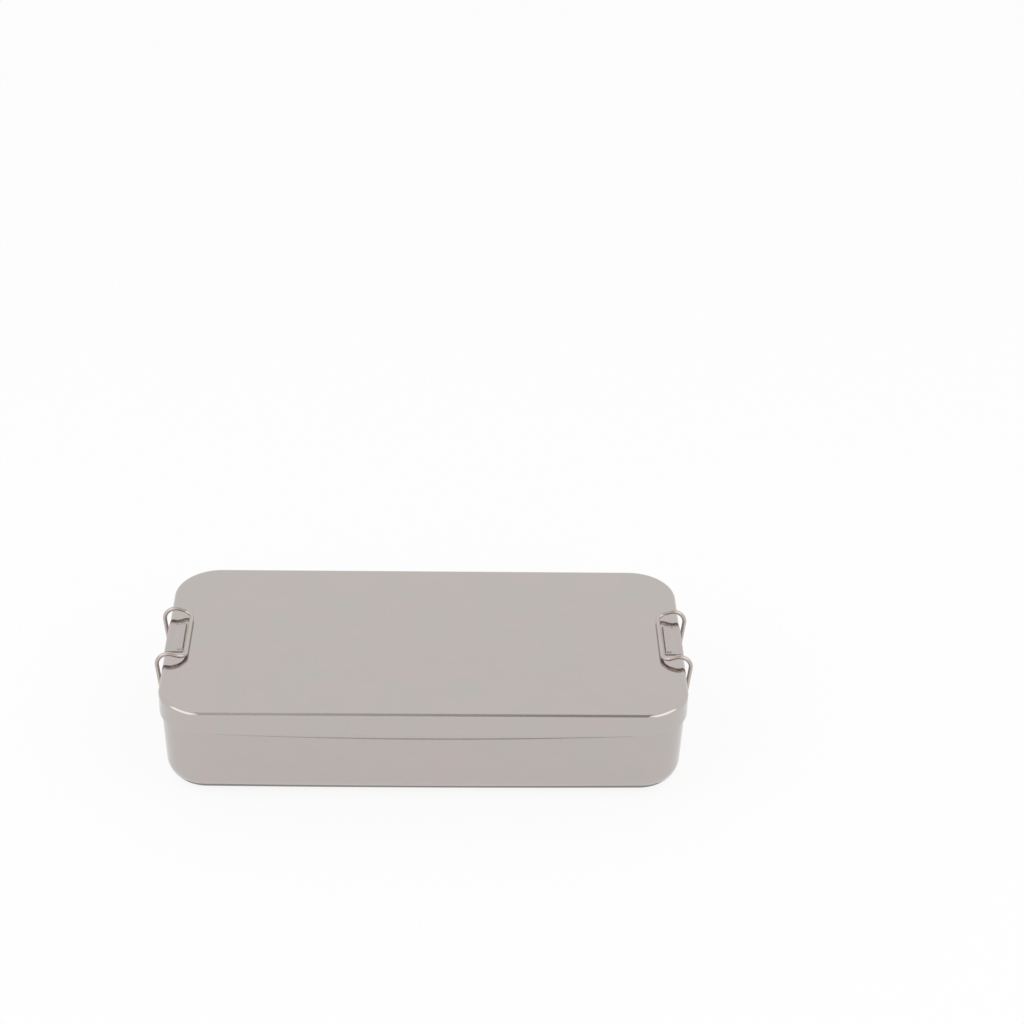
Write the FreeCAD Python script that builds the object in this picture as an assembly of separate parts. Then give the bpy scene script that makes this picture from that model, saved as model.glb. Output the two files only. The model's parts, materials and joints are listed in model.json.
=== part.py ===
"""Sterilization container: a drawn steel base pan, a lift-off lid that drops over its neck,
and at each end a sprung wire bail that swings over a clip plate on the lid.

Frame: origin at the middle of the base's underside, X along the length, Z up, millimetres.
The camera side is -Y. The container stands closed, with both bails over the lid.
"""
import FreeCAD, Part
import math
import os

V = FreeCAD.Vector

# Lid, outside sizes of the closed container
lid_length = 300.0
lid_width = 150.0
closed_height = 59.0
lid_corner_radius = 27.0
lid_skirt = 14.0
lid_edge_radius = 2.6
lid_sheet = 0.7

# Base pan
base_sheet = 0.7
skirt_gap = 0.45
rim_gap = 0.3
floor_edge_radius = 12.6
wall_draft = 0.7
wall_set_out = 0.1
long_side_bow = 0.95
short_side_bow = 0.8
shoulder_drop = 4.0
shoulder_below_skirt = 0.2

# Wire bails, measured outwards from the lid's end face and up from the lid's top
wire_diameter = 2.4
bail_width = 47.0
bar_inset = 12.9
bar_gap = 0.7
arm_reach = 4.6
arm_crown = 8.0
arm_crown_radius = 7.0
bar_corner_radius = 5.5
foot_corner_radius = 3.0
bend_step = 18.0
wire_end_gap = 0.4

# Hinge brackets on the base's end walls
pivot_below_lid = 21.0
pivot_clearance = 0.05
bracket_width = 30.0
bracket_sheet = 0.6
bracket_foot = 12.0
bracket_seat = 0.1
bracket_bend_radius = 3.0
bracket_corner_radius = 3.0

# Clip plates, welded on the lid between its edge and the bail's inner bar
plate_width = 29.2
plate_sheet = 0.5
plate_edge_radius = 2.25
plate_edge_inset = 1.9
plate_edge_angle = 50.0
plate_edge_tail = 0.1
plate_ramp_foot = 4.4
plate_ramp_head = 7.2
plate_ramp_radius = 1.6
plate_crest = 1.45
plate_nose = 10.0
plate_nose_radius = 0.7
plate_nose_tail = 0.9
plate_nose_angle = 50.0

# Heights and half sizes that follow from the sizes above
wire_radius = wire_diameter / 2
lid_end_x = lid_length / 2
skirt_z = closed_height - lid_skirt
lid_underside_z = closed_height - lid_sheet
neck_inset = lid_sheet + skirt_gap
neck_corner = lid_corner_radius - neck_inset
lid_inner_edge = lid_edge_radius - lid_sheet
shoulder_z = skirt_z - shoulder_below_skirt


def rim_height():
    """The rim ends under the lid's rounded inner edge, clear of it by rim_gap."""
    along = lid_inner_edge - skirt_gap
    reach = lid_inner_edge - rim_gap
    return lid_underside_z - lid_inner_edge + math.sqrt(max(reach ** 2 - along ** 2, 0.0))


def rounded_outline(inset, corner, z):
    """Rectangle with round corners, inside the lid's outer sides by inset, at height z."""
    half_x = lid_length / 2 - inset
    half_y = lid_width / 2 - inset
    flat_x = half_x - corner
    flat_y = half_y - corner
    slant = corner * math.sqrt(0.5)
    edges = []
    for sx, sy in ((1, 1), (1, -1), (-1, -1), (-1, 1)):
        side_on_y = V(sx * flat_x, sy * half_y, z)
        side_on_x = V(sx * half_x, sy * flat_y, z)
        middle = V(sx * (flat_x + slant), sy * (flat_y + slant), z)
        edges.append(Part.Arc(side_on_y, middle, side_on_x).toShape())
    for sy in (1, -1):
        edges.append(Part.makeLine(V(-flat_x, sy * half_y, z), V(flat_x, sy * half_y, z)))
    for sx in (1, -1):
        edges.append(Part.makeLine(V(sx * half_x, -flat_y, z), V(sx * half_x, flat_y, z)))
    return Part.Wire(Part.__sortEdges__(edges))


def side_radius(half_chord, bow):
    """Radius of the shallow arc that stands out by bow in the middle of a side."""
    return (half_chord ** 2 + bow ** 2) / (2 * bow)


def bowed_outline(inset, z):
    """The lower walls' outline: sides that bow outwards and die away into round corners."""
    half_x = lid_length / 2 - wall_set_out
    half_y = lid_width / 2 - wall_set_out
    long_radius = side_radius(half_x - neck_corner, long_side_bow)
    short_radius = side_radius(half_y - neck_corner, short_side_bow)
    long_y = half_y - long_radius
    short_x = half_x - short_radius

    span = math.hypot(short_x, long_y)
    to_long = long_radius - neck_corner
    to_short = short_radius - neck_corner
    along = (to_long ** 2 - to_short ** 2 + span ** 2) / (2 * span)
    across = math.sqrt(to_long ** 2 - along ** 2)
    ux = short_x / span
    uy = -long_y / span
    corner_x = along * ux + across * uy
    corner_y = long_y + along * uy - across * ux

    long_turn = math.atan2(corner_x, corner_y - long_y)
    short_turn = math.atan2(corner_y, corner_x - short_x)
    reach_long = long_radius - inset
    reach_short = short_radius - inset
    corner = neck_corner - inset
    on_long_x = reach_long * math.sin(long_turn)
    on_long_y = long_y + reach_long * math.cos(long_turn)
    on_short_x = short_x + reach_short * math.cos(short_turn)
    on_short_y = reach_short * math.sin(short_turn)
    middle_turn = (math.pi / 2 - long_turn + short_turn) / 2
    middle_x = corner_x + corner * math.cos(middle_turn)
    middle_y = corner_y + corner * math.sin(middle_turn)

    edges = []
    for sx, sy in ((1, 1), (1, -1), (-1, -1), (-1, 1)):
        edges.append(Part.Arc(V(sx * on_long_x, sy * on_long_y, z),
                              V(sx * middle_x, sy * middle_y, z),
                              V(sx * on_short_x, sy * on_short_y, z)).toShape())
    for sy in (1, -1):
        edges.append(Part.Arc(V(-on_long_x, sy * on_long_y, z),
                              V(0, sy * (half_y - inset), z),
                              V(on_long_x, sy * on_long_y, z)).toShape())
    for sx in (1, -1):
        edges.append(Part.Arc(V(sx * on_short_x, -on_short_y, z),
                              V(sx * (half_x - inset), 0, z),
                              V(sx * on_short_x, on_short_y, z)).toShape())
    return Part.Wire(Part.__sortEdges__(edges))


def prism(outline, height):
    return Part.Face(outline).extrude(V(0, 0, height))


def edges_at(shape, z):
    """The edges that lie flat at height z."""
    found = []
    for edge in shape.Edges:
        box = edge.BoundBox
        if abs(box.ZMin - z) < 0.001 and abs(box.ZMax - z) < 0.001:
            found.append(edge)
    return found


def pan_form(inset):
    """The base as a filled form, moved inwards by inset on every face."""
    floor_z = inset
    top_inset = inset
    bottom_inset = inset + wall_draft * (1 - floor_z / skirt_z)
    walls = Part.makeLoft([bowed_outline(bottom_inset, floor_z), bowed_outline(top_inset, skirt_z)],
                          True, True)
    walls = walls.makeFillet(floor_edge_radius - inset, edges_at(walls, floor_z))

    slope = (neck_inset - wall_set_out) / shoulder_drop
    top_z = shoulder_z + lid_skirt / 4
    low_z = shoulder_z - 2 * shoulder_drop
    slope_top = neck_inset + slope * (top_z - shoulder_z) + inset
    slope_low = neck_inset - slope * (shoulder_z - low_z) + inset
    cap = Part.makeLoft([rounded_outline(slope_low, lid_corner_radius - slope_low, low_z),
                         rounded_outline(slope_top, lid_corner_radius - slope_top, top_z)],
                        True, True)
    under = prism(rounded_outline(slope_low, lid_corner_radius - slope_low, floor_z), low_z - floor_z)
    walls = walls.common(cap.fuse(under))

    neck = prism(rounded_outline(neck_inset + inset, neck_corner - inset, low_z),
                 rim_height() - low_z)
    return walls.fuse(neck).removeSplitter()


def base_pan():
    opening = prism(rounded_outline(neck_inset + base_sheet, neck_corner - base_sheet, skirt_z),
                    closed_height - skirt_z)
    return pan_form(0).cut(pan_form(base_sheet)).cut(opening)


def lid_form(inset, low_z):
    form = prism(rounded_outline(inset, lid_corner_radius - inset, low_z),
                 closed_height - inset - low_z)
    return form.makeFillet(lid_edge_radius - inset, edges_at(form, closed_height - inset))


def lid():
    return lid_form(0, skirt_z).cut(lid_form(lid_sheet, skirt_z - lid_skirt))


def rounded_path(points, radii):
    """Straight runs through the points, joined by tangent arcs of the given radii."""
    edges = []
    start = points[0]
    for i in range(1, len(points) - 1):
        back = (points[i - 1] - points[i]).normalize()
        ahead = (points[i + 1] - points[i]).normalize()
        half = back.getAngle(ahead) / 2
        setback = radii[i - 1] / math.tan(half)
        into = points[i] + back * setback
        out = points[i] + ahead * setback
        towards = (back + ahead).normalize()
        middle = points[i] + towards * (radii[i - 1] / math.sin(half) - radii[i - 1])
        if into.distanceToPoint(start) > 0.001:
            edges.append(Part.makeLine(start, into))
        edges.append(Part.Arc(into, middle, out).toShape())
        start = out
    if start.distanceToPoint(points[-1]) > 0.001:
        edges.append(Part.makeLine(start, points[-1]))
    return Part.Wire(edges)


def at_end(side, out, up, y=0.0):
    """A point at one end, out from the lid's end face and up from the lid's top."""
    return V(side * (lid_end_x + out), y, closed_height + up)


def end_wall(up):
    """How far the middle of the end wall's outside lies from the lid's end face, seated on."""
    height = closed_height + up
    return -wall_set_out - wall_draft * (1 - height / skirt_z) - bracket_seat


def knuckle_radius():
    """The middle of the bracket's sheet, rolled round the wire."""
    return wire_radius + pivot_clearance + bracket_sheet / 2


def pivot_out():
    """The bracket's sheet lies between the end wall and the wire."""
    return end_wall(-pivot_below_lid) + bracket_sheet / 2 + knuckle_radius()


def chorded(path, step):
    """The path with each bend divided into short straight chords that turn by about step."""
    points = [path.OrderedVertexes[0].Point]
    for edge in path.OrderedEdges:
        parts = 1
        if isinstance(edge.Curve, Part.Circle):
            parts = max(2, round(math.degrees(edge.Length / edge.Curve.Radius) / step))
        stations = edge.discretize(Number=parts + 1)
        if stations[0].distanceToPoint(points[-1]) > stations[-1].distanceToPoint(points[-1]):
            stations.reverse()
        points.extend(stations[1:])
    return Part.makePolygon(points)


def bail(side):
    """A loop of round wire whose two ends meet inside the hinge bracket's knuckle."""
    half = bail_width / 2
    gap = wire_end_gap / 2
    foot = (pivot_out(), -pivot_below_lid)
    crown = (arm_reach, arm_crown)
    bar = (-bar_inset, bar_gap + wire_radius)
    points = [at_end(side, *foot, y=gap)]
    for out, up in (foot, crown, bar):
        points.append(at_end(side, out, up, half))
    for out, up in (bar, crown, foot):
        points.append(at_end(side, out, up, -half))
    points.append(at_end(side, *foot, y=-gap))
    bends = [foot_corner_radius, arm_crown_radius, bar_corner_radius]
    path = chorded(rounded_path(points, bends + bends[::-1]), bend_step)
    section = Part.Wire(Part.makeCircle(wire_radius, points[0], V(0, 1, 0)))
    mitred = 1
    return path.makePipeShell([section], True, False, mitred)


def sheet_strip(points, radii, sheet, width):
    """A bent sheet: the path is its middle line, seen along Y, and width is its length in Y."""
    path = rounded_path(points, radii)
    along = (points[1] - points[0]).normalize()
    across = along.cross(V(0, 1, 0)) * (sheet / 2)
    wide = V(0, width / 2, 0)
    start = points[0]
    section = Part.makePolygon([start + across + wide, start + across - wide,
                                start - across - wide, start - across + wide,
                                start + across + wide])
    return path.makePipeShell([section], True, False)


def rounded_end(strip, tip, width, radius):
    """The strip with the two corners of its end at tip rounded off."""
    corners = []
    for edge in strip.Edges:
        middle = edge.CenterOfMass
        if edge.Length < width / 2 and middle.distanceToPoint(V(tip.x, middle.y, tip.z)) < 0.001:
            corners.append(edge)
    return strip.makeFillet(radius, corners)


def hinge_bracket(side, pan_outside):
    """A strap on the end wall, rolled at its top into a knuckle round the bail's foot."""
    half_sheet = bracket_sheet / 2
    roll = knuckle_radius()
    near = pivot_out() - roll
    far = pivot_out() + roll
    turn_up = -pivot_below_lid - roll
    foot_up = turn_up - bracket_foot
    points = [at_end(side, end_wall(foot_up) + half_sheet, foot_up),
              at_end(side, near, turn_up),
              at_end(side, near, -pivot_below_lid + roll),
              at_end(side, far, -pivot_below_lid + roll),
              at_end(side, far, -pivot_below_lid - roll),
              at_end(side, pivot_out(), -pivot_below_lid - roll)]
    strap = sheet_strip(points, [bracket_bend_radius, roll, roll, roll],
                        bracket_sheet, bracket_width)
    strap = rounded_end(strap, points[0], bracket_width, bracket_corner_radius)
    return strap.cut(pan_outside)


def clip_plate(side):
    """The nose beside the bail's bar, the ramp down to the lid and the bend round its edge."""
    half_sheet = plate_sheet / 2
    crest = plate_crest - half_sheet
    nose = math.radians(plate_nose_angle)
    edge = math.radians(plate_edge_angle)
    setback = plate_edge_radius * math.tan(edge / 2)
    reach = setback + plate_edge_tail
    corner = setback - plate_edge_inset
    points = [at_end(side, -plate_nose - plate_nose_tail * math.cos(nose),
                     crest - plate_nose_tail * math.sin(nose)),
              at_end(side, -plate_nose, crest),
              at_end(side, -plate_ramp_head, crest),
              at_end(side, -plate_ramp_foot, half_sheet),
              at_end(side, corner, half_sheet),
              at_end(side, corner + reach * math.cos(edge), half_sheet - reach * math.sin(edge))]
    bends = [plate_nose_radius, plate_ramp_radius, plate_ramp_radius, plate_edge_radius]
    return sheet_strip(points, bends, plate_sheet, plate_width)


def save(name, shape):
    solids = shape.Solids
    if len(solids) != 1 or not shape.isValid():
        raise RuntimeError("%s has %d solids, valid %s" % (name, len(solids), shape.isValid()))
    solids[0].exportStep("parts/%s.step" % name)
    print("%-20s %9.1f mm3" % (name, solids[0].Volume))


def main():
    os.makedirs("parts", exist_ok=True)
    save("base_pan", base_pan())
    save("lid", lid())
    pan_outside = pan_form(0)
    for name, side in (("left", -1), ("right", 1)):
        save(name + "_bail", bail(side))
        save(name + "_hinge_bracket", hinge_bracket(side, pan_outside))
        save(name + "_clip_plate", clip_plate(side))


main()
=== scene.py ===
"""Sterilization container: a drawn steel pan, its lift-off lid and two sprung wire clips.

Run as a script in Blender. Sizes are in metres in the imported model's frame: the origin is in the
middle of the pan's underside, X runs along the length, Z is up and the camera side is -Y.
"""

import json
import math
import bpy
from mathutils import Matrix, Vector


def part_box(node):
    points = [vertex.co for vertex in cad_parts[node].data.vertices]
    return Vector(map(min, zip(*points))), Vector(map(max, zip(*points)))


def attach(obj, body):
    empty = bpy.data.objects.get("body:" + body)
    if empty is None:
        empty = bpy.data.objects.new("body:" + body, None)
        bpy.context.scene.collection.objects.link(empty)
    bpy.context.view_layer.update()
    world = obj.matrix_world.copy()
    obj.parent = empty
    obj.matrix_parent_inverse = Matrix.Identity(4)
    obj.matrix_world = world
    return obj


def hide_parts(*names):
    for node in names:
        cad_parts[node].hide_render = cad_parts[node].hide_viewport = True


bl_info = {
    "name": "Sterilization container",
    "version": (1, 0, 0),
    "blender": (4, 5, 0),
    "location": "3D View > Sidebar > Container",
    "description": "Builds a steel instrument container with a lid and wire clips",
    "category": "Add Mesh",
}

import bmesh
import bpy
from bpy.props import FloatProperty, FloatVectorProperty, IntProperty, PointerProperty
from mathutils import Matrix, Vector

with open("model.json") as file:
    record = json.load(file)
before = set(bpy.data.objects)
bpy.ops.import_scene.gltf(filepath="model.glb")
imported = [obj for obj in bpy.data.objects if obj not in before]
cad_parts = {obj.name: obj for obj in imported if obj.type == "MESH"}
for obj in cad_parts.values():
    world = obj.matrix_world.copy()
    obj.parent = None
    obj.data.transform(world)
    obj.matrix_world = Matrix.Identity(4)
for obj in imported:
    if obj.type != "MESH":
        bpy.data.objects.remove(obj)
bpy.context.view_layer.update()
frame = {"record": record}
lid_low, lid_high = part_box("lid")
pan_low, pan_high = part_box("base_pan")
hinge = next(j for j in frame["record"]["behaviour"]["joints"] if j["name"] == "right_bail_swing")

# Fineness of the meshes, in metres
SEAM = 1e-7
COINCIDENT = 1e-6
LID_FLAT_BAND = 0.001
PAN_FLAT_BAND = 0.0012
LID_SUPPORT = 0.0003
PAN_SUPPORT = 0.0002
STRIP_STEP = 0.0005
PLATE_COLUMN = 0.0004
BRACKET_COLUMN = 0.0006

# Rounding of the sheet's cut edges, as shares of its thickness, and what counts as an edge
CUT_EDGE = 0.3
EASED_EDGE = 0.16
EASED_FROM = math.radians(50)

# Steel: depths of its waviness and drawn grain in metres, and the scales of its patterns
SHEET_WAVES = 0.00002
POLISHED_GRAIN = 0.0000006
SATIN_GRAIN = 0.000001
GRAIN_ALONG_X = (30.0, 2500.0, 2500.0)
GRAIN_ALONG_Y = (2500.0, 40.0, 2500.0)
EVEN_GRAIN = (900.0, 900.0, 900.0)
PATCH_SCALE = 34.0
WAVE_SCALE = 22.0

# Viewpoint: lens and sensor in millimetres, turns in degrees, place in metres
LENS = 86.12
SENSOR = 36.0
YAW, PITCH, ROLL = 1.93, 31.32, 1.45
CAMERA_PLACE = (0.0090, -1.1815, 0.8656)

# Stage, in metres
FLOOR_REACH = 4
FLOOR_DROP = 0.0002
LAMP_PLACE = (0.9, -0.5, 0.75)
LAMP_TARGET = (0, 0, 0.05)
LAMP_SIZE = (1.1, 0.8)
LAMP_TINT = (1.0, 0.97, 0.95)
ARCH_HALF_WIDTH = 0.5
ARCH_FADE = 0.22
ARCH_STEPS = 8
# Card of painted shade under the pan: its inset from the lid's outline, its corner radius and its
# steps
UNDER_INSET = 0.005
UNDER_CORNER = 0.022
UNDER_STEPS = 16


def length(name, text, default):
    return FloatProperty(name=name, description=text, default=default, min=0.0, precision=5,
                         unit="LENGTH")


def angle(name, text, degrees):
    return FloatProperty(name=name, description=text, default=math.radians(degrees),
                         subtype="ANGLE")


def share(name, text, default):
    return FloatProperty(name=name, description=text, default=default, min=0.0, max=1.0,
                         subtype="FACTOR")


def count(name, text, default):
    return IntProperty(name=name, description=text, default=default, min=2)


def colour(name, text, default):
    return FloatVectorProperty(name=name, description=text, default=default, size=3, min=0.0,
                               max=1.0, subtype="COLOR")


class LidSizes(bpy.types.PropertyGroup):
    long: length("Length", "Outside length", lid_high.x - lid_low.x)
    wide: length("Width", "Outside width", lid_high.y - lid_low.y)
    top: length("Top height", "Height of the closed lid's top above the ground", lid_high.z)
    skirt: length("Skirt height", "Height of the skirt's lower edge above the ground", lid_low.z)
    corner: length("Corner radius", "Outside radius of the corners seen from above", 0.027)
    edge: length("Edge radius", "Outside radius between the top and the skirt", 0.0026)
    sheet: length("Sheet", "Thickness of the sheet", 0.0007)


class PanSizes(bpy.types.PropertyGroup):
    sheet: length("Sheet", "Thickness of the sheet", 0.0007)
    neck_inset: length("Neck inset", "How far the neck stands inside the lid's outside", 0.0015)
    rim: length("Rim height", "Height of the rim above the ground", pan_high.z)
    shoulder: length("Shoulder height", "Where the shoulder meets the neck", 0.0448)
    shoulder_drop: length("Shoulder drop", "How far a full shoulder slopes down", 0.004)
    set_out: length("Wall inset", "How far the walls stay inside the lid's outside", 0.00055)
    draft: length("Draft", "How much the walls lean in from the skirt to the floor", 0.00196)
    floor_edge: length("Floor edge radius", "Outside radius between wall and floor", 0.0136)
    long_bow: length("Long side bow", "How far a long wall swells in its middle", 0.00078)
    short_bow: length("Short side bow", "How far an end wall swells in its middle", 0.0008)
    crease: length("Crease radius", "Radius of the creases above and below the shoulder", 0.0005)
    ledge_out: share("Ledge start", "Share of the shoulder's outward run above its ledge", 0.3)
    ledge_down: share("Ledge drop", "Share of the shoulder's height above its ledge", 0.78)
    ledge_crease: length("Ledge crease", "Radius of the crease above the ledge", 0.0003)


class WireSizes(bpy.types.PropertyGroup):
    diameter: length("Wire diameter", "Diameter of the round wire", 0.0024)
    width: length("Bail width", "Distance between the middles of the two arms", 0.047)
    bar_inset: length("Bar inset", "Distance of the inner bar from the lid's end", 0.0129)
    bar_gap: length("Bar gap", "Gap between the lid's top and the inner bar", 0.0007)
    reach: length("Arm reach", "How far the arms' crowns stand out from the lid's end", 0.0046)
    crown: length("Arm crown", "Height of the arms' crowns above the lid", 0.008)
    crown_bend: length("Crown bend", "Radius of the arms' upper bends", 0.007)
    bar_bend: length("Bar bend", "Radius of the bends beside the inner bar", 0.0055)
    foot_bend: length("Foot bend", "Radius of the bends into the knuckle", 0.003)
    pivot_drop: length("Pivot drop", "Distance of the pivot below the lid's top",
                       lid_high.z - hinge["pos_m"][2])
    pivot_out: length("Pivot distance", "Distance of the pivot out from the lid's end",
                      hinge["pos_m"][0] - lid_high.x)
    end_gap: length("End gap", "Gap between the wire's two ends in the knuckle", 0.0004)


class PlateSizes(bpy.types.PropertyGroup):
    width: length("Plate width", "Width across the container", 0.0292)
    sheet: length("Plate sheet", "Thickness of the sheet", 0.0005)
    edge_bend: length("Edge bend", "Radius of the bend over the lid's edge", 0.00225)
    edge_inset: length("Edge inset", "Where the bend over the lid's edge begins", 0.0019)
    edge_angle: angle("Edge angle", "How far the sheet turns down over the lid's edge", 50)
    edge_tail: length("Edge tail", "Straight run after the bend over the lid's edge", 0.0001)
    ramp_foot: length("Ramp foot", "Where the ramp leaves the lid, in from the lid's end", 0.0044)
    ramp_head: length("Ramp head", "Where the ramp meets the crest, in from the lid's end", 0.0072)
    ramp_bend: length("Ramp bend", "Radius of the bends at the ramp's foot and head", 0.0016)
    crest: length("Crest", "Height of the crest above the lid", 0.00145)
    nose: length("Nose", "Where the nose turns down beside the bar, in from the lid's end", 0.010)
    nose_bend: length("Nose bend", "Radius of the bend into the nose", 0.0007)
    nose_tail: length("Nose tail", "Length of the nose from its bend's corner", 0.0009)
    nose_angle: angle("Nose angle", "How far the nose turns down", 50)
    end_sink: length("End sink", "How far from its ends the crest begins to sink", 0.0026)


class BracketSizes(bpy.types.PropertyGroup):
    width: length("Bracket width", "Width across the container", 0.030)
    sheet: length("Bracket sheet", "Thickness of the sheet", 0.0006)
    foot: length("Foot length", "Length of the foot on the end wall", 0.012)
    joggle: length("Joggle", "Height over which the strap leaves the wall", 0.003)
    bend: length("Bend radius", "Radius where the strap leaves the wall", 0.003)
    corner: length("Corner radius", "Radius of the foot's two corners", 0.003)
    play: length("Pivot play", "Gap between the wire and the knuckle", 0.00005)
    seat: length("Seat", "How deep the foot is let into the bowed end wall", 0.0001)
    weld_up: length("Weld height", "Height of the weld dents above the foot's end", 0.004)
    weld_apart: length("Weld distance", "Distance between the two weld dents", 0.019)
    weld_radius: length("Weld radius", "Radius of a weld dent", 0.0021)
    weld_depth: length("Weld depth", "Depth of a weld dent", 0.00012)


class Smoothness(bpy.types.PropertyGroup):
    corner: count("Corner steps", "Facets round each corner of the container", 28)
    side: count("Side steps", "Facets along each side of the pan", 28)
    bend: count("Bend steps", "Facets round each bend", 14)
    wire: count("Wire sides", "Facets round the wire", 28)


class SteelLooks(bpy.types.PropertyGroup):
    lid: colour("Lid", "Colour of the lid's steel", (0.502, 0.463, 0.447))
    pan: colour("Pan", "Colour of the pan's steel", (0.494, 0.452, 0.438))
    wire: colour("Wire", "Colour of the wire", (0.530, 0.470, 0.435))
    plate: colour("Clip plates", "Colour of the clip plates' steel", (0.486, 0.442, 0.426))
    bracket: colour("Brackets", "Colour of the hinge brackets' steel", (0.480, 0.455, 0.435))
    polish: share("Polish roughness", "Roughness of the polished sheet", 0.09)
    satin: share("Satin roughness", "Roughness of the satin sheet", 0.20)
    drawn: share("Wire roughness", "Roughness of the drawn wire", 0.27)
    mottle: share("Mottling", "How much the steel's tint wanders", 0.24)


class StageLooks(bpy.types.PropertyGroup):
    floor: colour("Floor", "Colour of the floor", (0.95, 0.95, 0.95))
    floor_glow: share("Floor glow", "Share of plain white that the camera sees in the floor", 0.88)
    # The under card is painted shade: a near-black card that only reflections see. It stands in for
    # the shade on the floor under the pan, and its glow is the share of plain white mixed into that
    # shade.
    under: colour("Under card", "Colour of the card under the pan", (0.02, 0.02, 0.02))
    shade_card_glow: share("Under card glow", "Share of plain white mirrored from the card", 0.4)
    arch_left: share("Overhead card, left", "Grey of the overhead card on the left", 0.78)
    arch_right: share("Overhead card, right", "Grey of the overhead card on the right", 0.46)
    arch_far: length("Overhead card distance", "How far the arched overhead card stands off", 1.5)
    arch_from: angle("Overhead card from", "Angle up from the far side where the card begins", 84)
    arch_to: angle("Overhead card to", "Angle up from the far side where the card ends", 147)
    ambient: FloatProperty(name="Ambient light", description="Light from all round", default=0.85,
                           min=0.0)
    side_lamp: FloatProperty(name="Side lamps", description="Power of each soft side lamp",
                             default=2.1, min=0.0, unit="POWER")


# Mesh helpers


def new_piece(name, mesh):
    piece = bpy.data.objects.new(name, mesh)
    bpy.context.scene.collection.objects.link(piece)
    return piece


def settle(piece):
    """Makes what the piece's modifiers give its own plain mesh."""
    bpy.context.view_layer.update()
    graph = bpy.context.evaluated_depsgraph_get()
    mesh = bpy.data.meshes.new_from_object(piece.evaluated_get(graph))
    rough = piece.data
    piece.modifiers.clear()
    piece.data = mesh
    bpy.data.meshes.remove(rough)
    mesh.name = piece.name
    return piece


def closed_outwards(mesh):
    """Merges the mesh's seams, turns its faces outwards and shades it smooth."""
    work = bmesh.new()
    work.from_mesh(mesh)
    bmesh.ops.remove_doubles(work, verts=work.verts, dist=SEAM)
    bmesh.ops.recalc_face_normals(work, faces=work.faces)
    for face in work.faces:
        face.smooth = True
    work.to_mesh(mesh)
    work.free()


def finish_piece(piece, material, body, node):
    piece.data.materials.clear()
    piece.data.materials.append(material)
    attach(piece, body)
    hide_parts(node)


def rounded_section(corners, steps, support):
    """Points along a section with corners (across, height, bend radius).

    A close point stands on each side of a bend, so that the flat runs stay flat when shaded.
    """
    places = [Vector((a, h)) for a, h, _ in corners]
    radii = [r for _, _, r in corners]
    setbacks = [0.0]
    for i in range(1, len(places) - 1):
        turn = (places[i] - places[i - 1]).angle(places[i + 1] - places[i])
        setbacks.append(radii[i] * math.tan(turn / 2))
    setbacks.append(0.0)
    points = [places[0]]
    for i in range(1, len(places) - 1):
        back = places[i - 1] - places[i]
        ahead = places[i + 1] - places[i]
        free_back = max(back.length - setbacks[i] - setbacks[i - 1], 0.0)
        free_ahead = max(ahead.length - setbacks[i] - setbacks[i + 1], 0.0)
        back.normalize()
        ahead.normalize()
        into = places[i] + back * setbacks[i]
        out = places[i] + ahead * setbacks[i]
        points.append(into + back * min(support, free_back * 0.3))
        turn = math.pi - back.angle(ahead)
        towards = (back + ahead).normalized()
        centre = places[i] + towards * (radii[i] / math.cos(turn / 2))
        side = 1.0 if (into - centre).cross(out - centre) > 0 else -1.0
        for k in range(steps + 1):
            t = side * turn * k / steps
            arm = into - centre
            points.append(centre + Vector((arm.x * math.cos(t) - arm.y * math.sin(t),
                                           arm.x * math.sin(t) + arm.y * math.cos(t))))
        points.append(out + ahead * min(support, free_ahead * 0.3))
    points.append(places[-1])
    return points


# Geometry node trees


def node_tree(name, inputs):
    """A geometry tree with a geometry input and output and the named inputs."""
    tree = bpy.data.node_groups.new(name, "GeometryNodeTree")
    tree.interface.new_socket("Geometry", in_out="INPUT", socket_type="NodeSocketGeometry")
    for label, kind in inputs:
        tree.interface.new_socket(label, in_out="INPUT", socket_type="NodeSocket" + kind)
    tree.interface.new_socket("Geometry", in_out="OUTPUT", socket_type="NodeSocketGeometry")
    return tree, tree.nodes.new("NodeGroupInput"), tree.nodes.new("NodeGroupOutput")


def add_node(tree, kind, links=None, **settings):
    """Adds a node, sets its properties and input values, and links what feeds it."""
    node = tree.nodes.new(kind)
    values = settings.pop("values", {})
    for key, value in settings.items():
        setattr(node, key, value)
    for key, value in values.items():
        node.inputs[key].default_value = value
    for key, source in (links or {}).items():
        tree.links.new(source, node.inputs[key])
    return node


def run_tree(piece, tree, values):
    modifier = piece.modifiers.new(tree.name, "NODES")
    modifier.node_group = tree
    for item in tree.interface.items_tree:
        if item.in_out == "INPUT" and item.name in values:
            modifier[item.identifier] = values[item.name]


def finish_tree(tree, out, geometry, material):
    smooth = add_node(tree, "GeometryNodeSetShadeSmooth", {"Geometry": geometry})
    real = add_node(tree, "GeometryNodeRealizeInstances", {"Geometry": smooth.outputs["Geometry"]})
    painted = add_node(tree, "GeometryNodeSetMaterial",
                       {"Geometry": real.outputs["Geometry"], "Material": material})
    tree.links.new(painted.outputs["Geometry"], out.inputs["Geometry"])


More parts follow.
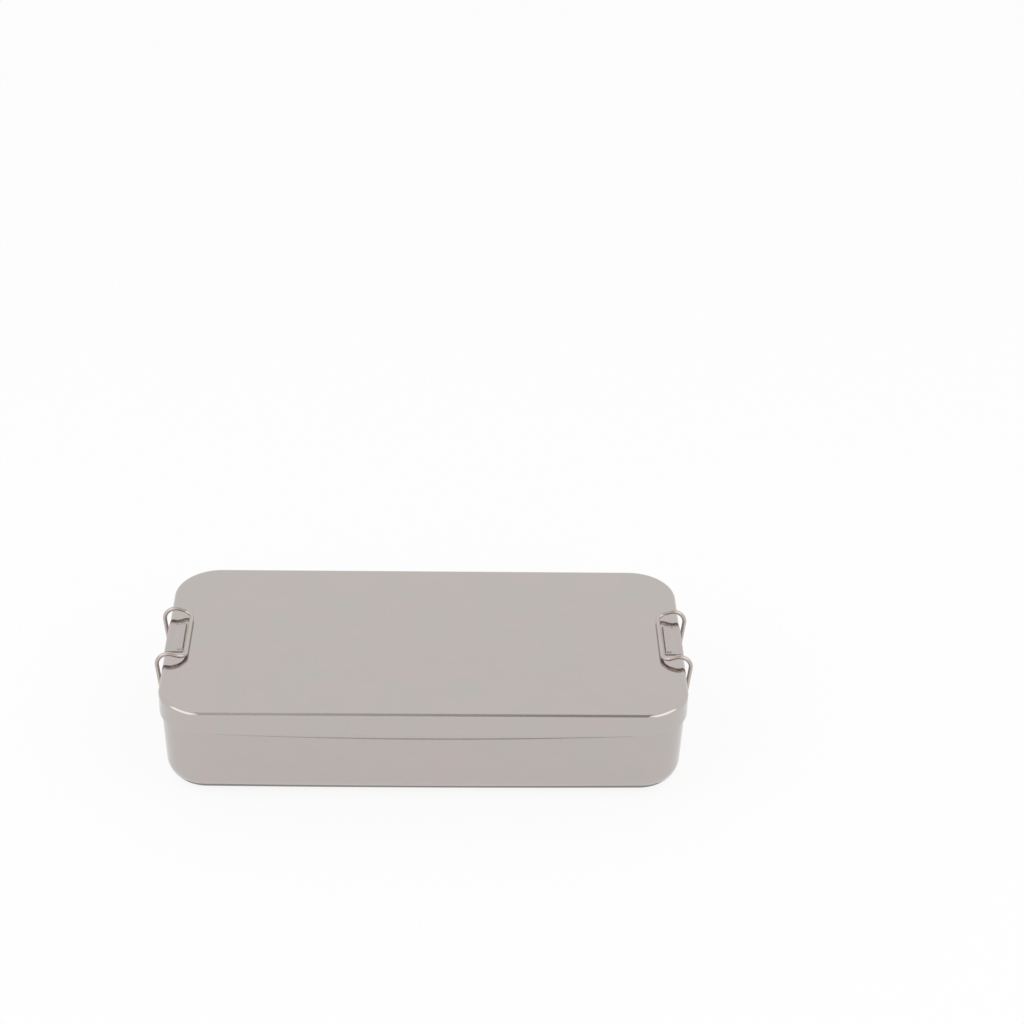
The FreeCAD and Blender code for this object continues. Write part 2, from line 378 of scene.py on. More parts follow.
def bent_wire_tree():
    """Sweeps a round wire along a line of corners, each rounded by its bend attribute."""
    tree, given, out = node_tree("Bent wire", [("Diameter", "Float"), ("Bend steps", "Int"),
                                               ("Wire sides", "Int"), ("Material", "Material")])
    line = add_node(tree, "GeometryNodeMeshToCurve", {"Mesh": given.outputs["Geometry"]})
    bend = add_node(tree, "GeometryNodeInputNamedAttribute", data_type="FLOAT",
                    values={"Name": "bend"})
    route = add_node(tree, "GeometryNodeFilletCurve",
                     {"Curve": line.outputs["Curve"], "Count": given.outputs["Bend steps"],
                      "Radius": bend.outputs["Attribute"]}, mode="POLY")
    half = add_node(tree, "ShaderNodeMath", {0: given.outputs["Diameter"]}, operation="MULTIPLY",
                    values={1: 0.5})
    section = add_node(tree, "GeometryNodeCurvePrimitiveCircle",
                       {"Resolution": given.outputs["Wire sides"], "Radius": half.outputs[0]})
    wire = add_node(tree, "GeometryNodeCurveToMesh",
                    {"Curve": route.outputs["Curve"], "Profile Curve": section.outputs["Curve"]},
                    values={"Fill Caps": True})
    finish_tree(tree, out, wire.outputs["Mesh"], given.outputs["Material"])
    return tree


def rounded_rectangle(tree, given, inset):
    """The lid's outline moved inwards by inset, as a curve in the tree."""
    double = add_node(tree, "ShaderNodeMath", {0: inset}, operation="MULTIPLY", values={1: 2.0})
    sizes = [add_node(tree, "ShaderNodeMath", {0: given.outputs[label], 1: double.outputs[0]},
                      operation="SUBTRACT") for label in ("Length", "Width")]
    radius = add_node(tree, "ShaderNodeMath", {0: given.outputs["Corner radius"], 1: inset},
                      operation="SUBTRACT")
    box = add_node(tree, "GeometryNodeCurvePrimitiveQuadrilateral",
                   {"Width": sizes[0].outputs[0], "Height": sizes[1].outputs[0]})
    return add_node(tree, "GeometryNodeFilletCurve",
                    {"Curve": box.outputs["Curve"], "Count": given.outputs["Corner steps"],
                     "Radius": radius.outputs[0]}, mode="POLY").outputs["Curve"]


def pressed_lid_tree():
    """Sweeps the lid's edge section round its outline and closes the top and its underside."""
    tree, given, out = node_tree("Pressed lid", [
        ("Length", "Float"), ("Width", "Float"), ("Corner radius", "Float"),
        ("Flat inset", "Float"), ("Top height", "Float"), ("Sheet", "Float"),
        ("Corner steps", "Int"), ("Bend steps", "Int"), ("Material", "Material")])
    line = add_node(tree, "GeometryNodeMeshToCurve", {"Mesh": given.outputs["Geometry"]})
    bend = add_node(tree, "GeometryNodeInputNamedAttribute", data_type="FLOAT",
                    values={"Name": "bend"})
    section = add_node(tree, "GeometryNodeFilletCurve",
                       {"Curve": line.outputs["Curve"], "Count": given.outputs["Bend steps"],
                        "Radius": bend.outputs["Attribute"]}, mode="POLY")
    no_inset = add_node(tree, "ShaderNodeValue")
    no_inset.outputs[0].default_value = 0.0
    outline = rounded_rectangle(tree, given, no_inset.outputs[0])
    edge = add_node(tree, "GeometryNodeCurveToMesh",
                    {"Curve": outline, "Profile Curve": section.outputs["Curve"]})
    parts = [edge.outputs["Mesh"]]
    inner = rounded_rectangle(tree, given, given.outputs["Flat inset"])
    flat = add_node(tree, "GeometryNodeFillCurve", {"Curve": inner}, mode="NGONS")
    under = add_node(tree, "ShaderNodeMath",
                     {0: given.outputs["Top height"], 1: given.outputs["Sheet"]},
                     operation="SUBTRACT")
    for height in (given.outputs["Top height"], under.outputs[0]):
        place = add_node(tree, "ShaderNodeCombineXYZ", {"Z": height})
        moved = add_node(tree, "GeometryNodeTransform",
                         {"Geometry": flat.outputs["Mesh"], "Translation": place.outputs[0]})
        parts.append(moved.outputs["Geometry"])
    joined = add_node(tree, "GeometryNodeJoinGeometry")
    for part in parts:
        tree.links.new(part, joined.inputs["Geometry"])
    merged = add_node(tree, "GeometryNodeMergeByDistance",
                      {"Geometry": joined.outputs["Geometry"]}, values={"Distance": COINCIDENT})
    finish_tree(tree, out, merged.outputs["Geometry"], given.outputs["Material"])
    return tree


def line_mesh(name, points, bends):
    """A line of edges through the points, with each point's bend radius in an attribute."""
    mesh = bpy.data.meshes.new(name)
    mesh.from_pydata(points, [(i, i + 1) for i in range(len(points) - 1)], [])
    mesh.attributes.new("bend", "FLOAT", "POINT").data.foreach_set("value", bends)
    return mesh


# Finishes


def steel(name, tint, roughness, mottle, waviness, grain, grain_along):
    """Stainless sheet or wire: a wandering tint, fine drawn grain and a faint pressed waviness."""
    material = bpy.data.materials.new(name)
    material.use_nodes = True
    tree = material.node_tree
    tree.nodes.clear()
    place = add_node(tree, "ShaderNodeTexCoord").outputs["Object"]
    shader = add_node(tree, "ShaderNodeBsdfPrincipled",
                      values={"Metallic": 1.0, "IOR": 2.5, "Anisotropic": 0.0})
    add_node(tree, "ShaderNodeOutputMaterial", {"Surface": shader.outputs["BSDF"]})

    patches = add_node(tree, "ShaderNodeTexNoise", {"Vector": place},
                       values={"Scale": PATCH_SCALE, "Detail": 4.0, "Roughness": 0.55})
    ramp = add_node(tree, "ShaderNodeValToRGB", {"Fac": patches.outputs["Fac"]})
    redder = (1.0 + 0.10 * mottle, 1.0 - 0.03 * mottle, 1.0)
    greener = (1.0 - 0.12 * mottle, 1.0 + 0.02 * mottle, 1.0 - 0.05 * mottle)
    rose = [c * k for c, k in zip(tint, redder)]
    moss = [c * k for c, k in zip(tint, greener)]
    ramp.color_ramp.elements[0].position = 0.36
    ramp.color_ramp.elements[0].color = (*moss, 1.0)
    ramp.color_ramp.elements[1].position = 0.66
    ramp.color_ramp.elements[1].color = (*rose, 1.0)
    tree.links.new(ramp.outputs["Color"], shader.inputs["Base Color"])

    stretch = add_node(tree, "ShaderNodeMapping", {"Vector": place},
                       values={"Scale": grain_along})
    drawn = add_node(tree, "ShaderNodeTexNoise", {"Vector": stretch.outputs["Vector"]},
                     values={"Scale": 1.0, "Detail": 3.0, "Roughness": 0.6})
    spread = add_node(tree, "ShaderNodeMapRange", {"Value": drawn.outputs["Fac"]},
                      values={"From Min": 0.3, "From Max": 0.7, "To Min": roughness * 0.8,
                              "To Max": roughness * 1.25})
    tree.links.new(spread.outputs["Result"], shader.inputs["Roughness"])

    waves = add_node(tree, "ShaderNodeTexNoise", {"Vector": place},
                     values={"Scale": WAVE_SCALE, "Detail": 1.0, "Roughness": 0.4})
    pressed = add_node(tree, "ShaderNodeBump", {"Height": waves.outputs["Fac"]},
                       values={"Strength": 1.0, "Distance": waviness})
    scratched = add_node(tree, "ShaderNodeBump",
                         {"Height": drawn.outputs["Fac"], "Normal": pressed.outputs["Normal"]},
                         values={"Strength": 1.0, "Distance": grain})
    tree.links.new(scratched.outputs["Normal"], shader.inputs["Normal"])
    return material


# Pieces


def pan_sides(pan, lid):
    """The circles that bound the bowed walls: centre and radius of the long and short arcs."""
    neck_corner = lid.corner - pan.neck_inset
    half_x = lid.long / 2 - pan.set_out
    half_y = lid.wide / 2 - pan.set_out
    long_chord = half_x - neck_corner
    short_chord = half_y - neck_corner
    long_radius = (long_chord ** 2 + pan.long_bow ** 2) / (2 * pan.long_bow)
    short_radius = (short_chord ** 2 + pan.short_bow ** 2) / (2 * pan.short_bow)
    return neck_corner, half_y - long_radius, long_radius, half_x - short_radius, short_radius


def reach_of_circle(x, y, dx, dy, cx, cy, radius):
    """How far a ray from (x, y) along (dx, dy) runs to the far side of a circle."""
    along = (x - cx) * dx + (y - cy) * dy
    return -along + math.sqrt(max(along ** 2 - (x - cx) ** 2 - (y - cy) ** 2 + radius ** 2, 0.0))


def bow_at(x, y, dx, dy, sides):
    """How far the bowed wall stands out from the neck at a place on the neck's outline."""
    neck_corner, long_y, long_radius, short_x, short_radius = sides
    x, y, dx, dy = abs(x), abs(y), abs(dx), abs(dy)
    span = math.hypot(short_x, long_y)
    to_long = long_radius - neck_corner
    to_short = short_radius - neck_corner
    along = (to_long ** 2 - to_short ** 2 + span ** 2) / (2 * span)
    across = math.sqrt(to_long ** 2 - along ** 2)
    corner_x = (along * short_x - across * long_y) / span
    corner_y = long_y + (-along * long_y - across * short_x) / span
    long_end = corner_x * long_radius / to_long
    short_end = corner_y * short_radius / to_short

    reach = reach_of_circle(x, y, dx, dy, 0.0, long_y, long_radius)
    if x + dx * reach <= long_end:
        return reach
    reach = reach_of_circle(x, y, dx, dy, short_x, 0.0, short_radius)
    if y + dy * reach <= short_end:
        return reach
    return reach_of_circle(x, y, dx, dy, corner_x, corner_y, neck_corner)


def neck_stations(half_x, half_y, corner, corner_steps, side_steps):
    """Places on the neck's outline and the direction outwards there, once round."""
    flat_x = half_x - corner
    flat_y = half_y - corner
    stations = []
    for turn, (sx, sy) in enumerate(((1, 1), (-1, 1), (-1, -1), (1, -1))):
        for k in range(corner_steps + 1):
            bearing = math.radians(90) * (turn + k / corner_steps)
            dx, dy = math.cos(bearing), math.sin(bearing)
            stations.append((sx * flat_x + corner * dx, sy * flat_y + corner * dy, dx, dy))
        x, y, dx, dy = stations[-1]
        run = 2 * (flat_x if turn % 2 == 0 else flat_y)
        for k in range(1, side_steps):
            step = run * k / side_steps
            stations.append((x - dy * step, y + dx * step, dx, dy))
    return stations


def pan_section(pan, lid, bow, steps):
    """The pan's section at one place: how far out from the neck's outside, and how high."""
    slope = (pan.neck_inset - pan.set_out) / pan.shoulder_drop
    lean = pan.draft / lid.skirt
    edge_z = (slope * pan.shoulder - bow + pan.draft) / (slope + lean)
    edge = slope * (pan.shoulder - edge_z)
    foot = bow - pan.draft
    flat = foot - pan.floor_edge - PAN_FLAT_BAND
    rim_bend = pan.sheet * CUT_EDGE
    inner_shoulder = pan.shoulder + pan.sheet * slope / 2
    ledge = edge * pan.ledge_out
    ledge_z = pan.shoulder + (edge_z - pan.shoulder) * pan.ledge_down
    corners = [(flat, 0.0, 0.0), (foot, 0.0, pan.floor_edge),
               (edge, edge_z, pan.ledge_crease), (ledge, ledge_z, pan.ledge_crease),
               (0.0, pan.shoulder, pan.crease),
               (0.0, pan.rim, rim_bend), (-pan.sheet, pan.rim, rim_bend),
               (-pan.sheet, inner_shoulder, pan.crease),
               (ledge - pan.sheet, ledge_z, pan.ledge_crease),
               (edge - pan.sheet, edge_z, pan.ledge_crease),
               (foot - pan.sheet, pan.sheet, pan.floor_edge - pan.sheet), (flat, pan.sheet, 0.0)]
    return rounded_section(corners, steps, PAN_SUPPORT)


class CONTAINER_OT_pan(bpy.types.Operator):
    """Build the drawn base pan with its bowed walls, shoulder and neck"""
    bl_idname = "container.pan"
    bl_label = "Base pan"

    def execute(self, context):
        scene = context.scene
        pan, lid, fine = scene.pan_sizes, scene.lid_sizes, scene.smoothness
        sides = pan_sides(pan, lid)
        stations = neck_stations(lid.long / 2 - pan.neck_inset, lid.wide / 2 - pan.neck_inset,
                                 lid.corner - pan.neck_inset, fine.corner, fine.side)
        points = []
        for x, y, dx, dy in stations:
            section = pan_section(pan, lid, bow_at(x, y, dx, dy, sides), fine.bend)
            points.append([(x + dx * p.x, y + dy * p.x, p.y) for p in section])
        rings = len(points[0])
        verts = [points[i][k] for k in range(rings) for i in range(len(stations))]
        around = len(stations)
        faces = []
        for k in range(rings - 1):
            for i in range(around):
                j = (i + 1) % around
                faces.append((k * around + i, k * around + j, (k + 1) * around + j,
                              (k + 1) * around + i))
        faces.append(list(range(around))[::-1])
        faces.append([(rings - 1) * around + i for i in range(around)])
        mesh = bpy.data.meshes.new("pan")
        mesh.from_pydata(verts, [], faces)
        closed_outwards(mesh)
        looks = scene.steel_looks
        material = steel("pan_steel", looks.pan, looks.polish, looks.mottle, SHEET_WAVES,
                         POLISHED_GRAIN, GRAIN_ALONG_X)
        finish_piece(new_piece("pan", mesh), material, "base", "base_pan")
        return {"FINISHED"}


class CONTAINER_OT_lid(bpy.types.Operator):
    """Build the pressed lid with its rounded edge and straight skirt"""
    bl_idname = "container.lid"
    bl_label = "Lid"

    def execute(self, context):
        scene = context.scene
        lid, fine, looks = scene.lid_sizes, scene.smoothness, scene.steel_looks
        inner = lid.edge - lid.sheet
        flat = lid.edge + LID_FLAT_BAND
        near = LID_SUPPORT
        burr = lid.sheet * CUT_EDGE
        under = lid.top - lid.sheet
        section = [(flat, lid.top, 0), (lid.edge + near, lid.top, 0), (0, lid.top, lid.edge),
                   (0, lid.top - lid.edge - near, 0), (0, lid.skirt + burr + near, 0),
                   (0, lid.skirt, burr), (lid.sheet, lid.skirt, burr),
                   (lid.sheet, lid.skirt + burr + near, 0),
                   (lid.sheet, under - inner - near, 0), (lid.sheet, under, inner),
                   (lid.sheet + inner + near, under, 0), (flat, under, 0)]
        # A section's own axes point outwards and down once it is swept round the outline
        line = line_mesh("lid_cover", [(-inwards, -height, 0.0) for inwards, height, _ in section],
                         [bend for _, _, bend in section])
        piece = new_piece("lid_cover", line)
        material = steel("lid_steel", looks.lid, looks.polish, looks.mottle, SHEET_WAVES,
                         POLISHED_GRAIN, GRAIN_ALONG_X)
        run_tree(piece, pressed_lid_tree(), {
            "Length": lid.long, "Width": lid.wide, "Corner radius": lid.corner,
            "Flat inset": flat, "Top height": lid.top, "Sheet": lid.sheet,
            "Corner steps": fine.corner, "Bend steps": fine.bend, "Material": material})
        settle(piece)
        closed_outwards(piece.data)
        finish_piece(piece, material, "lid", "lid")
        return {"FINISHED"}


class CONTAINER_OT_bails(bpy.types.Operator):
    """Bend the two wire bails, each one loop whose ends meet in its knuckle"""
    bl_idname = "container.bails"
    bl_label = "Wire bails"

    def execute(self, context):
        scene = context.scene
        wire, fine = scene.wire_sizes, scene.smoothness
        looks = scene.steel_looks
        tree = bent_wire_tree()
        material = steel("wire_steel", looks.wire, looks.drawn, looks.mottle, 0.0, SATIN_GRAIN,
                         EVEN_GRAIN)
        half = wire.width / 2
        gap = wire.end_gap / 2
        foot = (wire.pivot_out, -wire.pivot_drop)
        crown = (wire.reach, wire.crown)
        bar = (-wire.bar_inset, wire.bar_gap + wire.diameter / 2)
        for body, side in (("left", -1), ("right", 1)):
            points = [at_end(scene, side, foot, gap)]
            points += [at_end(scene, side, spot, half) for spot in (foot, crown, bar)]
            points += [at_end(scene, side, spot, -half) for spot in (bar, crown, foot)]
            points.append(at_end(scene, side, foot, -gap))
            bends = [0.0, wire.foot_bend, wire.crown_bend, wire.bar_bend]
            name = body + "_wire_loop"
            piece = new_piece(name, line_mesh(name, points, bends + bends[::-1]))
            run_tree(piece, tree, {"Diameter": wire.diameter, "Bend steps": fine.bend,
                                   "Wire sides": fine.wire, "Material": material})
            settle(piece)
            closed_outwards(piece.data)
            finish_piece(piece, material, body + "_clip", body + "_bail")
        return {"FINISHED"}


def at_end(scene, side, spot, y):
    """A point at one end, out from the lid's end face and up from the lid's top."""
    lid = scene.lid_sizes
    return (side * (lid.long / 2 + spot[0]), y, lid.top + spot[1])


def end_wall(scene, up):
    """Where the bracket's inner face lies on the middle of the end wall, from the lid's end."""
    pan, lid = scene.pan_sizes, scene.lid_sizes
    lean = pan.draft * (1 - (lid.top + up) / lid.skirt)
    return -pan.set_out - lean - scene.bracket_sizes.seat


def knuckle_radius(scene):
    """The middle of the bracket's sheet, rolled round the wire."""
    bracket = scene.bracket_sizes
    return scene.wire_sizes.diameter / 2 + bracket.play + bracket.sheet / 2


def divided(points, step):
    """The line with its long runs divided into even steps."""
    fine = [points[0]]
    for a, b in zip(points, points[1:]):
        parts = max(1, math.ceil((b - a).length / step))
        fine += [a.lerp(b, k / parts) for k in range(1, parts + 1)]
    return [p for i, p in enumerate(fine) if i == 0 or (p - fine[i - 1]).length > COINCIDENT]


def bent_strip(scene, name, side, line, width, corner, corner_at_end, dents, across_step,
               sinks=0.0, flat_up=0.0):
    """A strip of sheet along a line seen from the side, with one end's corners rounded off.

    Each dent is (out, y, up, radius, depth, direction it is pushed in). What stands above flat_up
    sinks to it over the length sinks at both sides of the strip.
    """
    if not corner_at_end:
        line = line[::-1]
    run = [0.0]
    for a, b in zip(line, line[1:]):
        run.append(run[-1] + (b - a).length)
    columns = max(2, round(width / across_step))
    verts = []
    for place, along in zip(line, run):
        rest = run[-1] - along
        cut = corner - math.sqrt(max(corner ** 2 - max(corner - rest, 0.0) ** 2, 0.0))
        half = width / 2 - cut
        for c in range(columns + 1):
            y = -half + 2 * half * c / columns
            spot = Vector((place.x, y, place.y))
            near = half - abs(y)
            if near < sinks and place.y > flat_up:
                part = near / sinks
                spot.z = flat_up + (place.y - flat_up) * part * part * (3 - 2 * part)
            for out, dent_y, up, radius, depth, push in dents:
                away = (spot - Vector((out, dent_y, up))).length
                if away < radius:
                    spot += Vector((push[0], 0.0, push[1])) * depth * (1 - (away / radius) ** 2) ** 2
            verts.append(at_end(scene, side, (spot.x, spot.z), spot.y))
    faces = []
    for r in range(len(line) - 1):
        for c in range(columns):
            a = r * (columns + 1) + c
            faces.append((a, a + 1, a + columns + 2, a + columns + 1))
    mesh = bpy.data.meshes.new(name)
    mesh.from_pydata(verts, [], faces)
    return new_piece(name, mesh)


def thicken(piece, sheet):
    """Gives the strip its thickness, half on each side, and eases its edges."""
    solid = piece.modifiers.new("sheet", "SOLIDIFY")
    solid.thickness = sheet
    solid.offset = 0.0
    solid.use_even_offset = True
    eased = piece.modifiers.new("eased", "BEVEL")
    eased.width = sheet * EASED_EDGE
    eased.segments = 2
    eased.limit_method = "ANGLE"
    eased.angle_limit = EASED_FROM
    settle(piece)
    closed_outwards(piece.data)


class CONTAINER_OT_plates(bpy.types.Operator):
    """Fold the two clip plates: a nose beside the bar, a crest, a ramp and a bend over the edge"""
    bl_idname = "container.plates"
    bl_label = "Clip plates"

    def execute(self, context):
        scene = context.scene
        plate, looks = scene.plate_sizes, scene.steel_looks
        half = plate.sheet / 2
        crest = plate.crest - half
        setback = plate.edge_bend * math.tan(plate.edge_angle / 2)
        reach = setback + plate.edge_tail
        corner = setback - plate.edge_inset
        corners = [(-plate.nose - plate.nose_tail * math.cos(plate.nose_angle),
                    crest - plate.nose_tail * math.sin(plate.nose_angle), 0),
                   (-plate.nose, crest, plate.nose_bend),
                   (-plate.ramp_head, crest, plate.ramp_bend),
                   (-plate.ramp_foot, half, plate.ramp_bend),
                   (corner, half, plate.edge_bend),
                   (corner + reach * math.cos(plate.edge_angle),
                    half - reach * math.sin(plate.edge_angle), 0)]
        line = divided(rounded_section(corners, scene.smoothness.bend, 0.0), STRIP_STEP)
        material = steel("plate_steel", looks.plate, looks.satin, looks.mottle, SHEET_WAVES,
                         SATIN_GRAIN, GRAIN_ALONG_Y)
        for end, side in (("left", -1), ("right", 1)):
            piece = bent_strip(scene, end + "_catch_plate", side, line, plate.width, 0.0,
                               True, [], PLATE_COLUMN, plate.end_sink, half)
            thicken(piece, plate.sheet)
            finish_piece(piece, material, "lid", end + "_clip_plate")
        return {"FINISHED"}


class CONTAINER_OT_brackets(bpy.types.Operator):
    """Roll the two hinge brackets and lay them on the pan's end walls"""
    bl_idname = "container.brackets"
    bl_label = "Hinge brackets"

    def execute(self, context):
        scene = context.scene
        bracket, wire, looks = scene.bracket_sizes, scene.wire_sizes, scene.steel_looks
        half = bracket.sheet / 2
        roll = knuckle_radius(scene)
        pivot = wire.pivot_out
        over = -wire.pivot_drop + roll
        under = -wire.pivot_drop - roll
        foot_up = under - bracket.foot
        leaves = under - bracket.joggle
        corners = [(end_wall(scene, foot_up) + half, foot_up, 0),
                   (end_wall(scene, leaves) + half, leaves, bracket.bend),
                   (pivot - roll, under, bracket.bend), (pivot - roll, over, roll),
                   (pivot + roll, over, roll), (pivot + roll, under, roll), (pivot, under, 0)]
        line = divided(rounded_section(corners, scene.smoothness.bend, 0.0), STRIP_STEP)
        weld_up = foot_up + bracket.weld_up
        dents = [(end_wall(scene, weld_up) + half, y, weld_up, bracket.weld_radius,
                  bracket.weld_depth, (-1, 0))
                 for y in (-bracket.weld_apart / 2, bracket.weld_apart / 2)]
        material = steel("bracket_steel", looks.bracket, looks.satin, looks.mottle, SHEET_WAVES,
                         SATIN_GRAIN, GRAIN_ALONG_Y)
        for end, side in (("left", -1), ("right", 1)):
            piece = bent_strip(scene, end + "_knuckle", side, line, bracket.width, bracket.corner,
                               False, dents, BRACKET_COLUMN)
            thicken(piece, bracket.sheet)
            finish_piece(piece, material, "base", end + "_hinge_bracket")
        return {"FINISHED"}


# Stage


def card(name, corners, material):
    """Adds a card that only reflections see, along pairs of corners."""
    mesh = bpy.data.meshes.new(name)
    mesh.from_pydata(corners, [], [(i, i + 1, i + 3, i + 2) for i in range(0, len(corners) - 2, 2)])
    mesh.materials.append(material)
    piece = new_piece(name, mesh)
    piece.visible_camera = False
    piece.visible_diffuse = False
    piece.visible_shadow = False


def soft_lamp(name, place, target, size, power, tint):
    data = bpy.data.lights.new(name, "AREA")
    data.shape = "RECTANGLE"
    data.size, data.size_y = size
    data.energy = power
    data.color = tint
    lamp = bpy.data.objects.new(name, data)
    bpy.context.scene.collection.objects.link(lamp)
    lamp.location = place
    lamp.rotation_euler = (Vector(target) - Vector(place)).to_track_quat("-Z", "Y").to_euler()


def flat_colour(name, tint, glow):
    """A matt surface that the camera and gloss see mixed with the share glow of plain white."""
    material = bpy.data.materials.new(name)
    material.use_nodes = True
    tree = material.node_tree
    tree.nodes.clear()
    matt = add_node(tree, "ShaderNodeBsdfDiffuse", values={"Color": (*tint, 1.0)})
    shine = add_node(tree, "ShaderNodeEmission", values={"Color": (1, 1, 1, 1), "Strength": 1.0})
    path = add_node(tree, "ShaderNodeLightPath")
    seen = add_node(tree, "ShaderNodeMath", {0: path.outputs["Is Camera Ray"],
                                             1: path.outputs["Is Glossy Ray"]}, operation="MAXIMUM")
    portion = add_node(tree, "ShaderNodeMath", {0: seen.outputs[0]}, operation="MULTIPLY",
                       values={1: glow})
    mixed = add_node(tree, "ShaderNodeMixShader", {0: portion.outputs[0], 1: matt.outputs[0],
                                                   2: shine.outputs[0]})
    add_node(tree, "ShaderNodeOutputMaterial", {"Surface": mixed.outputs[0]})
    return material


def graded_colour(name, left, right, reach):
    """A matt grey that goes from its left to its right brightness over reach on each side."""
    material = flat_colour(name, (1, 1, 1), 0.0)
    tree = material.node_tree
    matt = next(node for node in tree.nodes if node.type == "BSDF_DIFFUSE")
    place = add_node(tree, "ShaderNodeTexCoord").outputs["Object"]
    split = add_node(tree, "ShaderNodeSeparateXYZ", {"Vector": place})
    grade = add_node(tree, "ShaderNodeMapRange", {"Value": split.outputs["X"]},
                     values={"From Min": -reach, "From Max": reach, "To Min": left, "To Max": right})
    tree.links.new(grade.outputs["Result"], matt.inputs["Color"])
    return material


def pale_world(ambient):
    """White where the camera, gloss or glass sees it, and a plain level of light elsewhere."""
    world = bpy.data.worlds.new("studio")
    world.use_nodes = True
    tree = world.node_tree
    tree.nodes.clear()
    seen = add_node(tree, "ShaderNodeBackground", values={"Color": (1, 1, 1, 1), "Strength": 1.0})
    light = add_node(tree, "ShaderNodeBackground",
                     values={"Color": (1, 1, 1, 1), "Strength": ambient})
    path = add_node(tree, "ShaderNodeLightPath")
    either = add_node(tree, "ShaderNodeMath", {0: path.outputs["Is Camera Ray"],
                                               1: path.outputs["Is Glossy Ray"]},
                      operation="MAXIMUM")
    any_of = add_node(tree, "ShaderNodeMath", {0: either.outputs[0],
                                               1: path.outputs["Is Transmission Ray"]},
                      operation="MAXIMUM")
    mixed = add_node(tree, "ShaderNodeMixShader", {0: any_of.outputs[0], 1: light.outputs[0],
                                                   2: seen.outputs[0]})
    add_node(tree, "ShaderNodeOutputWorld", {"Surface": mixed.outputs[0]})
    return world


def viewpoint(scene):
    """Adds the camera, which looks along Y, turned to +X by YAW, down by PITCH and rolled."""
    data = bpy.data.cameras.new("camera")
    data.lens = LENS
    data.sensor_width = SENSOR
    camera = bpy.data.objects.new("camera", data)
    scene.collection.objects.link(camera)
    yaw, pitch, roll = (math.radians(turn) for turn in (YAW, PITCH, ROLL))
    ahead = Vector((math.sin(yaw) * math.cos(pitch), math.cos(yaw) * math.cos(pitch),
                    -math.sin(pitch)))
    level = Vector((math.cos(yaw), -math.sin(yaw), 0.0))
    upright = level.cross(ahead)
    right = level * math.cos(roll) + upright * math.sin(roll)
    above = upright * math.cos(roll) - level * math.sin(roll)
    columns = (right, above, -ahead, CAMERA_PLACE)
    camera.matrix_world = Matrix([[column[row] for column in columns] for row in range(3)]
                                 + [[0.0, 0.0, 0.0, 1.0]])
    scene.camera = camera


def overhead_card(looks):
    """Adds an arched card, darker on the right, which the lid's front edge mirrors as a line."""
    corners = []
    for step in range(ARCH_STEPS + 1):
        rise = looks.arch_from + (looks.arch_to - looks.arch_from) * step / ARCH_STEPS
        corners += [(x, looks.arch_far * math.cos(rise), looks.arch_far * math.sin(rise))
                    for x in (-ARCH_HALF_WIDTH, ARCH_HALF_WIDTH)]
    card("overhead_card", corners,
         graded_colour("overhead", looks.arch_left, looks.arch_right, ARCH_FADE))


def painted_shade_card(lid, looks):
    """Adds a rounded near-black card under the pan as painted shade, which darkens the pan's lower
    edge: the edge mirrors it in place of the shade on the floor beneath the pan.
    """
    reach_x = lid.long / 2 - UNDER_INSET
    reach_y = lid.wide / 2 - UNDER_INSET
    corners = []
    for step in range(-UNDER_STEPS, UNDER_STEPS + 1):
        x = reach_x * step / UNDER_STEPS
        into_corner = max(abs(x) - (reach_x - UNDER_CORNER), 0.0)
        half = reach_y - UNDER_CORNER + math.sqrt(max(UNDER_CORNER ** 2 - into_corner ** 2, 0.0))
        corners += [(x, -half, 0.0), (x, half, 0.0)]
    card("painted_shade_card", corners, flat_colour("painted_shade_card", looks.under, looks.shade_card_glow))


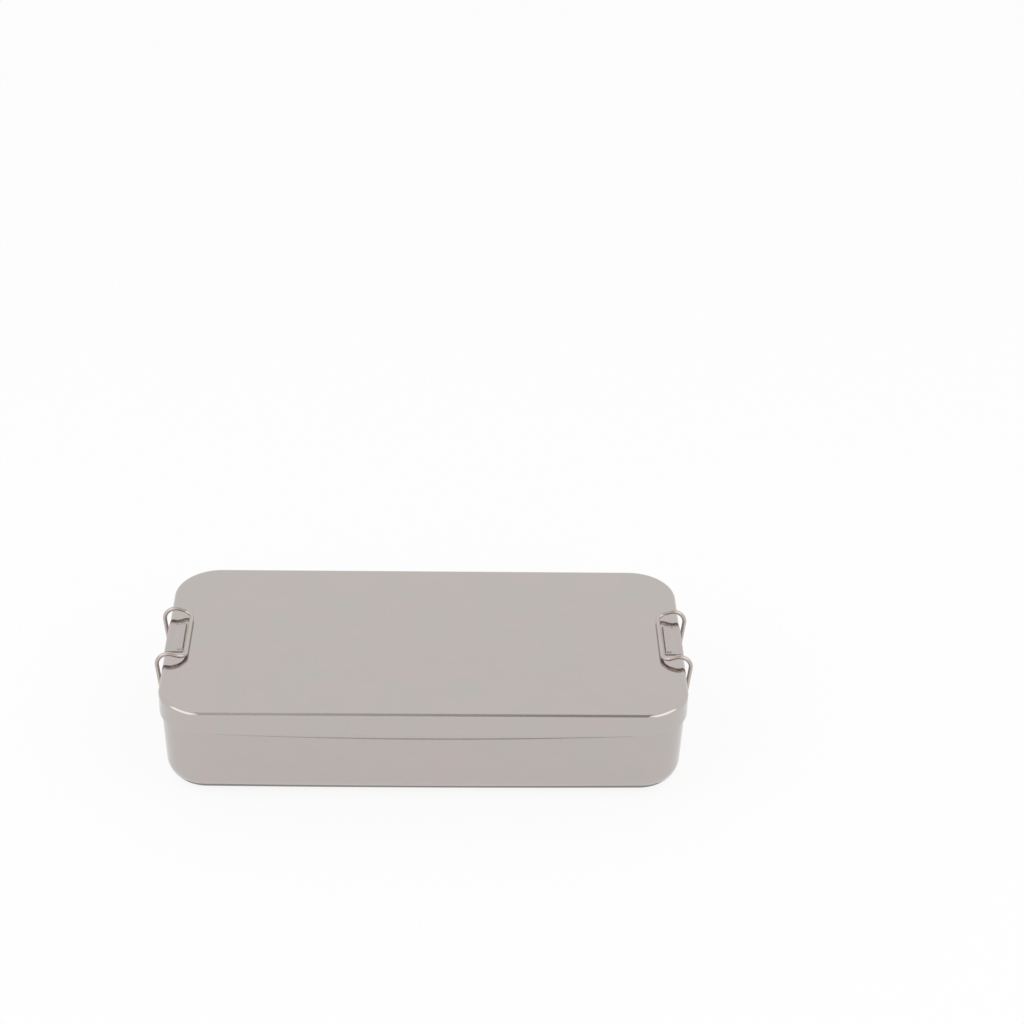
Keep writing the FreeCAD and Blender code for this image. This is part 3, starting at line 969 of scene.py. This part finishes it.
class CONTAINER_OT_stage(bpy.types.Operator):
    """Set up the camera, the pale floor, the soft lamps and the cards"""
    bl_idname = "container.stage"
    bl_label = "Stage"

    def execute(self, context):
        scene = context.scene
        looks = scene.stage_looks
        viewpoint(scene)
        floor = bpy.data.meshes.new("floor")
        floor.from_pydata([(x * FLOOR_REACH, y * FLOOR_REACH, -FLOOR_DROP)
                           for x, y in ((-1, -1), (1, -1), (1, 1), (-1, 1))], [], [(0, 1, 2, 3)])
        floor.materials.append(flat_colour("floor", looks.floor, looks.floor_glow))
        new_piece("floor", floor)
        scene.world = pale_world(looks.ambient)
        out, near, up = LAMP_PLACE
        for name, side in (("left_lamp", -1), ("right_lamp", 1)):
            soft_lamp(name, (side * out, near, up), LAMP_TARGET, LAMP_SIZE, looks.side_lamp,
                      LAMP_TINT)
        overhead_card(looks)
        # A near-black card under the pan, seen only in reflections, paints the floor's shade onto
        # the pan's lower edge
        painted_shade_card(scene.lid_sizes, looks)
        return {"FINISHED"}


GROUPS = (("lid_sizes", LidSizes), ("pan_sizes", PanSizes), ("wire_sizes", WireSizes),
          ("plate_sizes", PlateSizes), ("bracket_sizes", BracketSizes),
          ("smoothness", Smoothness), ("steel_looks", SteelLooks), ("stage_looks", StageLooks))
BUILDERS = (CONTAINER_OT_stage, CONTAINER_OT_pan, CONTAINER_OT_lid, CONTAINER_OT_bails,
            CONTAINER_OT_plates, CONTAINER_OT_brackets)


class CONTAINER_PT_panel(bpy.types.Panel):
    """The container's sizes, looks and build steps"""
    bl_label = "Container"
    bl_space_type = "VIEW_3D"
    bl_region_type = "UI"
    bl_category = "Container"

    def draw(self, context):
        for builder in BUILDERS:
            self.layout.operator(builder.bl_idname)
        for group, kind in GROUPS:
            box = self.layout.box()
            box.label(text=group.replace("_", " ").capitalize())
            for key in kind.__annotations__:
                box.prop(getattr(context.scene, group), key)


def register():
    for name, kind in GROUPS:
        bpy.utils.register_class(kind)
        setattr(bpy.types.Scene, name, PointerProperty(type=kind))
    for kind in (*BUILDERS, CONTAINER_PT_panel):
        bpy.utils.register_class(kind)


def unregister():
    for kind in (CONTAINER_PT_panel, *reversed(BUILDERS)):
        bpy.utils.unregister_class(kind)
    for name, kind in reversed(GROUPS):
        delattr(bpy.types.Scene, name)
        bpy.utils.unregister_class(kind)


def main():
    register()
    bpy.context.scene.view_settings.view_transform = "Standard"
    for builder in BUILDERS:
        family, step = builder.bl_idname.split(".")
        getattr(getattr(bpy.ops, family), step)()


if __name__ == "__main__":
    main()
